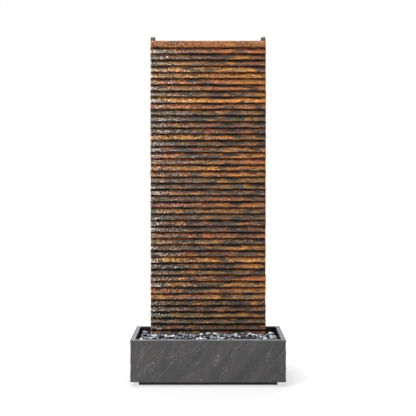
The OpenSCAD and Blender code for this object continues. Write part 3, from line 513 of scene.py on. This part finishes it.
def noise_field(name, kind, size, **settings):
    """A texture that a Displace modifier reads; size is its largest feature in metres."""
    made = bpy.data.textures.new(name, type=kind)
    made.noise_scale = size
    for key, value in settings.items():
        setattr(made, key, value)
    return made


def ridged_clefts(name, size, **settings):
    """Sharp ridges with flat clefts between them."""
    return noise_field(name, "MUSGRAVE", size, musgrave_type="RIDGED_MULTIFRACTAL", **settings)


def relief(obj, texture, depth, middle, direction="NORMAL", group="", stretch=(1, 1, 1), climb=0,
           at=(0, 0, 0)):
    """Displaces a piece by a texture, whose pattern is stretched, tipped to climb and moved."""
    guide = bpy.data.objects.new("guide", None)
    guide.matrix_world = (Matrix.Translation(at) @ Matrix.Rotation(climb, 4, "Y")
                          @ Matrix.Diagonal((*stretch, 1)))
    bpy.context.scene.collection.objects.link(guide)
    modifier = obj.modifiers.new("relief", "DISPLACE")
    modifier.texture = texture
    modifier.texture_coords = "OBJECT"
    modifier.texture_coords_object = guide
    modifier.strength = depth
    modifier.mid_level = middle
    modifier.direction = direction
    modifier.vertex_group = group
    bpy.context.view_layer.update()
    choose(obj)
    bpy.ops.object.modifier_apply(modifier=modifier.name)
    bpy.data.objects.remove(guide)


def smooth(obj, degrees):
    """Smooth shading, but for edges that are sharper than so many degrees."""
    choose(obj)
    bpy.ops.object.shade_smooth_by_angle(angle=math.radians(degrees))


def own_copy(obj):
    """A copy of a piece with its own mesh."""
    made = obj.copy()
    made.data = obj.data.copy()
    bpy.context.scene.collection.objects.link(made)
    return made


def join_up(pieces, name):
    """Joins pieces into the first of them."""
    choose(pieces[0])
    for piece in pieces:
        piece.select_set(True)
    bpy.ops.object.join()
    pieces[0].name = name
    return pieces[0]


def clad(obj, material):
    """Gives a new piece one material and no other."""
    obj.data.materials.clear()
    obj.data.materials.append(material)


def course_blank(name, face):
    """One slate course, its underside's back edge at y = 0 and z = 0: an edge drawn round its
    face, closed at the back and ends, with a knapped corner at each end."""
    half = SLATE_HALF - KNAPPED_END
    levels = [Vector((0, -out * MM, up * MM)) for out, up in face]
    deselect()
    bpy.ops.mesh.primitive_plane_add(size=1, location=(0, 0, 0))
    blank = bpy.context.object
    blank.name = name
    bpy.ops.object.mode_set(mode="EDIT")
    # The plane becomes the strip between the first two levels
    bpy.ops.transform.resize(value=(2 * half, levels[0].y - levels[1].y, 1))
    bpy.ops.transform.translate(value=(0, (levels[0].y + levels[1].y) / 2, 0))
    for start, end in zip(levels[1:], levels[2:]):
        pick(blank, "edges", lambda e, m: runs_along(e, 0) and (m - start).length < SAME)
        bpy.ops.mesh.extrude_edges_move(TRANSFORM_OT_translate={"value": end - start})
    # The back
    pick(blank, "edges", lambda e, m: runs_along(e, 0) and (
        (m - levels[0]).length < SAME or (m - levels[-1]).length < SAME))
    bpy.ops.mesh.edge_face_add()
    # The ends, then the corners knapped off them
    for side in (-1, 1):
        pick(blank, "edges", lambda e, m: abs(m.x - side * half) < SAME)
        bpy.ops.mesh.edge_face_add()
    for parts in COLUMNS:
        subdivide_along(blank, 0, parts)
    reach = max(-level.y for level in levels) - KNAPPED_END
    for side in (-1, 1):
        edge_x = side * (half + KNAPPED_END)
        pick(blank, "faces", lambda f, m: abs(f.normal.x) > 0.9 and m.x * side > half - SAME)
        outward = (side * KNAPPED_END, 0, 0)
        bpy.ops.mesh.extrude_region_move(TRANSFORM_OT_translate={"value": outward})
        pick(blank, "verts", lambda v, m: abs(v.co.x - edge_x) < SAME and v.co.y < -reach)
        bpy.ops.transform.resize(value=(1, 0, 1), center_override=(edge_x, -reach, 0))
    bpy.ops.mesh.select_all(action="SELECT")
    bpy.ops.mesh.normals_make_consistent(inside=False)
    bpy.ops.object.mode_set(mode="OBJECT")
    return blank


def weigh_face(blank, height):
    """Marks how free each point is to be split away: the whole face, and the lip most."""
    face = blank.vertex_groups.new(name="face")
    lip = blank.vertex_groups.new(name="lip")
    lows = []
    for vertex in blank.data.vertices:
        forward = min(1, max(0, (-vertex.co.y - BACK_KEPT) / BACK_FADES))
        low = 1 - min(1, max(0, (vertex.co.z - LIP_TOP) / (height - LIP_TOP)))
        face.add([vertex.index], forward, "REPLACE")
        lip.add([vertex.index], forward * low ** 1.5, "REPLACE")
        lows.append(low)
    # How low each point lies in its course: the material paints shade on the neck and glints on the
    # lip from it
    shade = blank.data.attributes.new("height", "FLOAT", "POINT")
    shade.data.foreach_set("value", lows)


def own_lip(node, low_z, high_z):
    """How far the CAD course between two heights stands forward of the slate's back."""
    return SLATE_BACK - min(v.co.y for v in nodes[node].data.vertices if low_z <= v.co.z <= high_z)


def set_down(blank, name, lip, z, material):
    """A copy of the blank at its height, its lip drawn out to its own length."""
    made = own_copy(blank)
    made.name = name
    wide = random.uniform(*COURSE_WIDTHS)
    made.data.transform(Matrix.Translation((0, SLATE_BACK, z))
                        @ Matrix.Diagonal((wide, lip / BLANK_LIP, 1, 1)))
    clad(made, material)
    return made


def split_faces(piece):
    """Breaks the smooth faces: the lip wanders in, out, up and down, steps run along the face, and
    small clefts and chips cover it."""
    wander = noise_field("wander", "CLOUDS", 50 * MM, noise_depth=2)
    waves = noise_field("waves", "CLOUDS", 22 * MM, noise_depth=2)
    steps = noise_field("steps", "VORONOI", 20 * MM)
    clefts = ridged_clefts("clefts", 12 * MM, octaves=4)
    relief(piece, wander, -4 * MM, 0.15, "Y", "lip", stretch=(1.4, 1, 0.45))
    relief(piece, waves, 1.2 * MM, 0.5, "Z", "lip", stretch=(1.5, 1, 0.6), at=(0.3, 0, 0))
    relief(piece, steps, -3.4 * MM, 0.1, group="face", stretch=(2.6, 1, 0.5))
    relief(piece, clefts, 1.6 * MM, 0.6, group="face", stretch=(2.2, 1, 0.8))


def slate_wall(stones):
    """The courses from the foot up, four to a piece."""
    blank = course_blank("course_blank", COURSE_FACE)
    weigh_face(blank, COURSE_HEIGHT)
    stones_up = STONES_DOWN[::-1]
    for i, node in enumerate(COURSE_SETS):
        courses = []
        for n in range(i * COURSES_IN_SET, (i + 1) * COURSES_IN_SET):
            z = wall_low.z + n * COURSE_PITCH
            lip = own_lip(node, z - SAME, z + COURSE_HEIGHT + SAME)
            courses.append(set_down(blank, f"course_{n + 1:02d}", lip, z, stones[stones_up[n]]))
        piece = join_up(courses, f"split_slate_{i + 1:02d}")
        split_faces(piece)
        smooth(piece, SLATE_EDGE_ANGLE)
        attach(piece, "water_wall")
        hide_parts(node)
    bpy.data.objects.remove(blank)


def slate_top(stone):
    """The top course: thicker and nearly flat, with a lightly broken face."""
    blank = course_blank("cap_blank", CAP_FACE)
    weigh_face(blank, cap_high.z - cap_low.z)
    # No lip above shades its face, so it gets no painted neck shade and reads as a lip all over
    for point in blank.data.attributes["height"].data:
        point.value = 0.8
    piece = set_down(blank, "split_slate_cap", SLATE_BACK - cap_low.y, cap_low.z, stone)
    clefts = ridged_clefts("cap_clefts", 20 * MM, octaves=4)
    steps = noise_field("cap_steps", "CLOUDS", 50 * MM, noise_depth=3)
    relief(piece, steps, -3 * MM, 0.3, group="face", stretch=(2.4, 1, 0.5))
    relief(piece, clefts, 1.0 * MM, 0.6, group="face", stretch=(2, 1, 0.8))
    smooth(piece, SLATE_EDGE_ANGLE)
    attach(piece, "water_wall")
    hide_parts("slate_cap")
    bpy.data.objects.remove(blank)


def box_between(low, high, name="cutter"):
    """A cuboid between two corners."""
    deselect()
    low, high = Vector(low), Vector(high)
    bpy.ops.mesh.primitive_cube_add(size=1, location=(low + high) / 2, scale=high - low)
    bpy.ops.object.transform_apply(location=True, rotation=True, scale=True)
    bpy.context.object.name = name
    return bpy.context.object


def rod_along_y(x, z, radius, y0, y1):
    """A round cutter along Y."""
    deselect()
    bpy.ops.mesh.primitive_cylinder_add(vertices=48, radius=radius, depth=y1 - y0,
                                        location=(x, (y0 + y1) / 2, z),
                                        rotation=(math.pi / 2, 0, 0))
    bpy.ops.object.transform_apply(location=True, rotation=True, scale=True)
    return bpy.context.object


def cut_away(piece, cutter):
    choose(piece)
    modifier = piece.modifiers.new("cut", "BOOLEAN")
    modifier.operation = "DIFFERENCE"
    modifier.solver = "EXACT"
    modifier.object = cutter
    bpy.ops.object.modifier_apply(modifier=modifier.name)
    bpy.data.objects.remove(cutter)


def basin_block():
    """The shell as a solid block: its corners cut off and its outer faces cleft."""
    block = box_between(shell_low, shell_high, "cleft_slate_basin")
    bpy.ops.object.mode_set(mode="EDIT")
    pick(block, "edges", lambda e, m: runs_along(e, 2))
    bpy.ops.mesh.bevel(offset=CORNER_CUT, offset_type="WIDTH", segments=1, affect="EDGES")
    for axis in range(3):
        subdivide_along(block, axis, 2)
        subdivide_along(block, axis, round((shell_high[axis] - shell_low[axis]) / FACE_STEP / 2))
    bpy.ops.object.mode_set(mode="OBJECT")
    face = block.vertex_groups.new(name="face")
    for vertex in block.data.vertices:
        to_edge = min(vertex.co.z - shell_low.z, shell_high.z - vertex.co.z)
        on_end = abs(vertex.co.x) > shell_high.x - CORNER_CUT - SAME
        on_side = abs(vertex.co.y) > shell_high.y - CORNER_CUT - SAME
        free = min(1, EDGE_RELIEF + to_edge / EDGE_FADES) if on_end or on_side else 0
        face.add([vertex.index], free, "REPLACE")
    steps = noise_field("shell_steps", "CLOUDS", 30 * MM, noise_depth=3)
    clefts = ridged_clefts("shell_clefts", 20 * MM)
    climb = math.radians(-50)
    relief(block, steps, -2.6 * MM, 0.1, group="face", stretch=(4, 1.5, 1), climb=climb)
    relief(block, clefts, -0.7 * MM, 0.1, group="face", stretch=(3, 1, 1), climb=climb)
    return block


def hollow_out(shell):
    """Cuts the basin's inside, then the rebate that the liner's flange lies in."""
    inner = shell_inner
    cut_away(shell, box_between((-inner.x, -inner.y, shell_low.z + SHELL_FLOOR),
                                (inner.x, inner.y, CUT_TOP)))
    rebate = inner + Vector((RIM_LAP, RIM_LAP, 0))
    cut_away(shell, box_between((-rebate.x, -rebate.y, shell_high.z - RIM_THICK),
                                (rebate.x, rebate.y, CUT_TOP + 1 * MM)))


def cut_notch(shell):
    """Cuts the cable notch into the back rim, with a round foot."""
    low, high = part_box("cable_notch_trim")
    x = (low.x + high.x) / 2
    radius = (high.x - low.x) / 2 + NOTCH_EASE
    z = low.z + radius - NOTCH_EASE
    cut_away(shell, box_between((x - radius, shell_inner.y - CUT_PAST, z),
                                (x + radius, shell_high.y + CUT_PAST, CUT_TOP + 2 * MM)))
    round_past = CUT_PAST + 0.2 * MM
    cut_away(shell, rod_along_y(x, z, radius, shell_inner.y - round_past,
                                shell_high.y + round_past))


def cut_drain(shell):
    """Cuts the drain's recess and bore into the back."""
    low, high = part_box("drain_gasket")
    x, z = (low.x + high.x) / 2, (low.z + high.z) / 2
    recess_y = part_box("drain_fitting")[1].y - DRAIN_FLANGE
    cut_away(shell, rod_along_y(x, z, (high.x - low.x) / 2, recess_y, shell_high.y + CUT_PAST))
    cut_away(shell, rod_along_y(x, z, DRAIN_BORE / 2, shell_inner.y - CUT_PAST, recess_y + 1 * MM))


def basin(material):
    """The basin's shell of cleft slate."""
    shell = basin_block()
    hollow_out(shell)
    cut_notch(shell)
    cut_drain(shell)
    clad(shell, material)
    smooth(shell, BASIN_EDGE_ANGLE)
    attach(shell, "water_wall")
    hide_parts("basin_shell")


def stone_places(node):
    """The middle and half-size of each loose stone of a CAD bed."""
    mesh = bmesh.new()
    mesh.from_mesh(nodes[node].data)
    bmesh.ops.remove_doubles(mesh, verts=mesh.verts, dist=SAME / 10)
    seen = set()
    places = []
    for vertex in mesh.verts:
        if vertex in seen:
            continue
        seen.add(vertex)
        stone, edge = [vertex], [vertex]
        while edge:
            for link in edge.pop().link_edges:
                for other in link.verts:
                    if other not in seen:
                        seen.add(other)
                        stone.append(other)
                        edge.append(other)
        low = Vector(min(v.co[a] for v in stone) for a in range(3))
        high = Vector(max(v.co[a] for v in stone) for a in range(3))
        places.append(((low + high) / 2, (high - low) / 2))
    mesh.free()
    return sorted(places, key=lambda p: tuple(p[0]))


def lay_stone(pebble, middle, half):
    """One river stone in the place of a CAD stone, turned, sized and tinted its own way."""
    stone = own_copy(pebble)
    tilt = Matrix.Identity(4)
    for axis, most in STONE_TURNS:
        tilt = tilt @ Matrix.Rotation(random.uniform(-most, most), 4, axis)
    size = half * random.uniform(*STONE_SIZES)
    size.z *= STONE_PLUMP
    raised = middle + Vector((0, 0, size.z - half.z))
    stone.data.transform(Matrix.Translation(raised) @ tilt @ Matrix.Diagonal((*size, 1)))
    shade = random.random()
    for point in stone.data.attributes["tint"].data:
        point.value = shade
    return stone


def pebble_bed(node, material):
    """Smooth river stones where the CAD bed has its stones. They know how high each of their
    points is, because their lower halves are painted dark as shade."""
    deselect()
    bpy.ops.mesh.primitive_ico_sphere_add(subdivisions=2, radius=1)
    pebble = bpy.context.object
    pebble.data.attributes.new("tint", "FLOAT", "POINT")
    painted_lit_height = pebble.data.attributes.new("painted_lit_height", "FLOAT", "POINT")
    painted_lit_height.data.foreach_set("value", [max(0, vertex.co.z) for vertex in pebble.data.vertices])
    stones = [lay_stone(pebble, middle, half) for middle, half in stone_places(node)]
    bpy.data.objects.remove(pebble)
    bed = join_up(stones, node.replace("pebbles", "river_stones"))
    relief(bed, noise_field(node + "_lumps", "CLOUDS", 20 * MM, noise_depth=1), 2.4 * MM, 0.55)
    clad(bed, material)
    smooth(bed, STONE_EDGE_ANGLE)
    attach(bed, "pebble_tray")
    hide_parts(node)


def area_light(name, at, aim, size, watts):
    lamp = bpy.data.lights.new(name, "AREA")
    lamp.shape = "RECTANGLE"
    lamp.size, lamp.size_y = size
    lamp.energy = watts
    made = bpy.data.objects.new(name, lamp)
    made.location = at
    made.rotation_euler = (Vector(aim) - Vector(at)).to_track_quat("-Z", "Y").to_euler()
    bpy.context.scene.collection.objects.link(made)


def pale_room():
    """A plain grey room for the light, which looks white where the camera sees past the floor."""
    world = bpy.data.worlds.new("studio")
    bpy.context.scene.world = world
    world.use_nodes = True
    tree = world.node_tree
    room = tree.nodes["Background"]
    feed(tree, room, {"Color": linear("#e6e8ea"), "Strength": 0.42})
    white = add(tree, "Background", {"Color": (1, 1, 1, 1), "Strength": 1.0})
    ray = add(tree, "LightPath")
    seen = maths(tree, "MAXIMUM", (ray, "Is Camera Ray"), (ray, "Is Transmission Ray"))
    show = add(tree, "MixShader", {0: seen, 1: room, 2: white})
    feed(tree, tree.nodes["World Output"], {"Surface": show})


def white_floor():
    """A floor that runs out of sight. Seen by the camera, it shows soft shadows on white: it takes
    little of the lamps' light, which falls off away from the object, and its own glow makes up for
    the rest."""
    deselect()
    bpy.ops.mesh.primitive_plane_add(size=30, location=(0, 0, 0))
    floor = bpy.context.object
    floor.name = "studio_floor"
    made, tree, shader, place = new_finish("studio_floor", "#e9e9e9", 0.9)
    away = add(tree, "VectorMath", {0: place}, operation="LENGTH")
    own = remap(tree, (away, "Value"), 0.41, 0.68, 0.66, 0.93)
    glow = add(tree, "Emission", {"Color": (1, 1, 1, 1), "Strength": own})
    shadowed = add(tree, "BsdfDiffuse", {"Color": linear("#828282")})
    lit = add(tree, "AddShader", {0: shadowed, 1: glow})
    ray = add(tree, "LightPath")
    show = add(tree, "MixShader", {0: (ray, "Is Camera Ray"), 1: shader, 2: lit})
    feed(tree, tree.nodes["Material Output"], {"Surface": show})
    floor.data.materials.append(made)


def photo_camera():
    camera = bpy.data.objects.new("camera", bpy.data.cameras.new("camera"))
    camera.data.lens = CAMERA_LENS
    camera.data.shift_y = CAMERA_SHIFT
    camera.location = CAMERA_AT
    camera.rotation_euler = (math.pi / 2 - CAMERA_DOWN, 0, 0)
    bpy.context.scene.collection.objects.link(camera)
    bpy.context.scene.camera = camera


def studio():
    """A white floor, a pale room, soft lamps, and the photograph's camera."""
    bpy.context.scene.view_settings.view_transform = "Standard"
    pale_room()
    white_floor()
    for name, lamp in LAMPS.items():
        area_light(name, *lamp)
    photo_camera()


def dress_frame():
    """The finish of every CAD part that is shown as it is."""
    rubber = moulded("black_rubber", "#17171a", 0.75, grain=300.0)
    paint(["basin_plinth"], powder_coat("plinth_black_paint", "#3b3b3d", 0.6))
    paint(["basin_liner"], liner_plastic())
    paint(["cable_notch_trim", "drain_gasket", "tray_feet", "pump_feet"], rubber)
    paint(["drain_fitting", "drain_locknut"], moulded("drain_polypropylene", "#2b2b2e", 0.45))
    paint(["drain_plug"], moulded("drain_plug_rubber", "#1a1a1b", 0.6, grain=260.0))
    paint(["drain_plug_seal"], moulded("silicone_red", "#7a241e", 0.4))
    paint(["pebble_tray", "tray_skirts", "tray_legs"],
          powder_coat("tray_dark_powder_coat", "#26272a", 0.5))
    paint(["post_left", "post_right"],
          brushed("brushed_stainless_post", "#746c65", 0.26, (60, 60, 4)))
    paint(["post_cap_left", "post_cap_right"],
          brushed("spun_stainless_cap", "#6a635d", 0.22, (40, 40, 40)))
    paint(["post_flanges"], brushed("milled_stainless", "#a2a4a6", 0.36, (8, 60, 60)))
    paint(["flange_screws", "backer_screws", "hose_clamps"],
          brushed("bright_stainless_screws", "#b4b6b8", 0.28, (50, 50, 50)))
    paint(["cover_screws"], brushed("blackened_screws", "#4c4d50", 0.4, (50, 50, 50)))
    paint(["shelf_collars", "slate_shelf", "cross_rails"], zinc_steel())
    paint(["backer_board"], fibre_cement())
    paint(["rear_cover"], powder_coat("cover_black_powder_coat", "#1d1e20", 0.48))
    paint(["top_trough"], brushed("rolled_stainless_trough", "#a3a5a8", 0.3, (4, 70, 70)))
    paint(["spray_tee", "tee_locknut", "spray_bars"], moulded("pipe_pvc_grey", "#3b3d40", 0.42))
    paint(["spray_bar_caps"], moulded("cap_vinyl_black", "#19191b", 0.5))
    paint(["supply_hose"], clear_hose())
    paint(["hose_clips"], moulded("clip_nylon_black", "#202124", 0.5))
    paint(["pump_motor", "pump_chamber", "pump_intake_cage", "pump_nozzle", "pump_cable_gland"],
          moulded("pump_abs_black", "#212427", 0.46, grain=520.0, depth=0.2))
    paint(["pump_flow_dial"], moulded("dial_abs_blue", "#3f6f86", 0.4))
    paint(["pump_shaft"], moulded("shaft_alumina", "#e6e3da", 0.18, depth=0.03))
    paint(["pump_rotor"], moulded("rotor_acetal_white", "#d6d7d8", 0.35))


studio()
dress_frame()
slate_finishes = {name: split_slate(name, *colours) for name, colours in SLATE_STONES.items()}
slate_wall(slate_finishes)
slate_top(slate_finishes["cap"])
basin(basin_slate())
pebble_finish = river_stone()
for bed_node in ("pebbles_front", "pebbles_left", "pebbles_right"):
    pebble_bed(bed_node, pebble_finish)
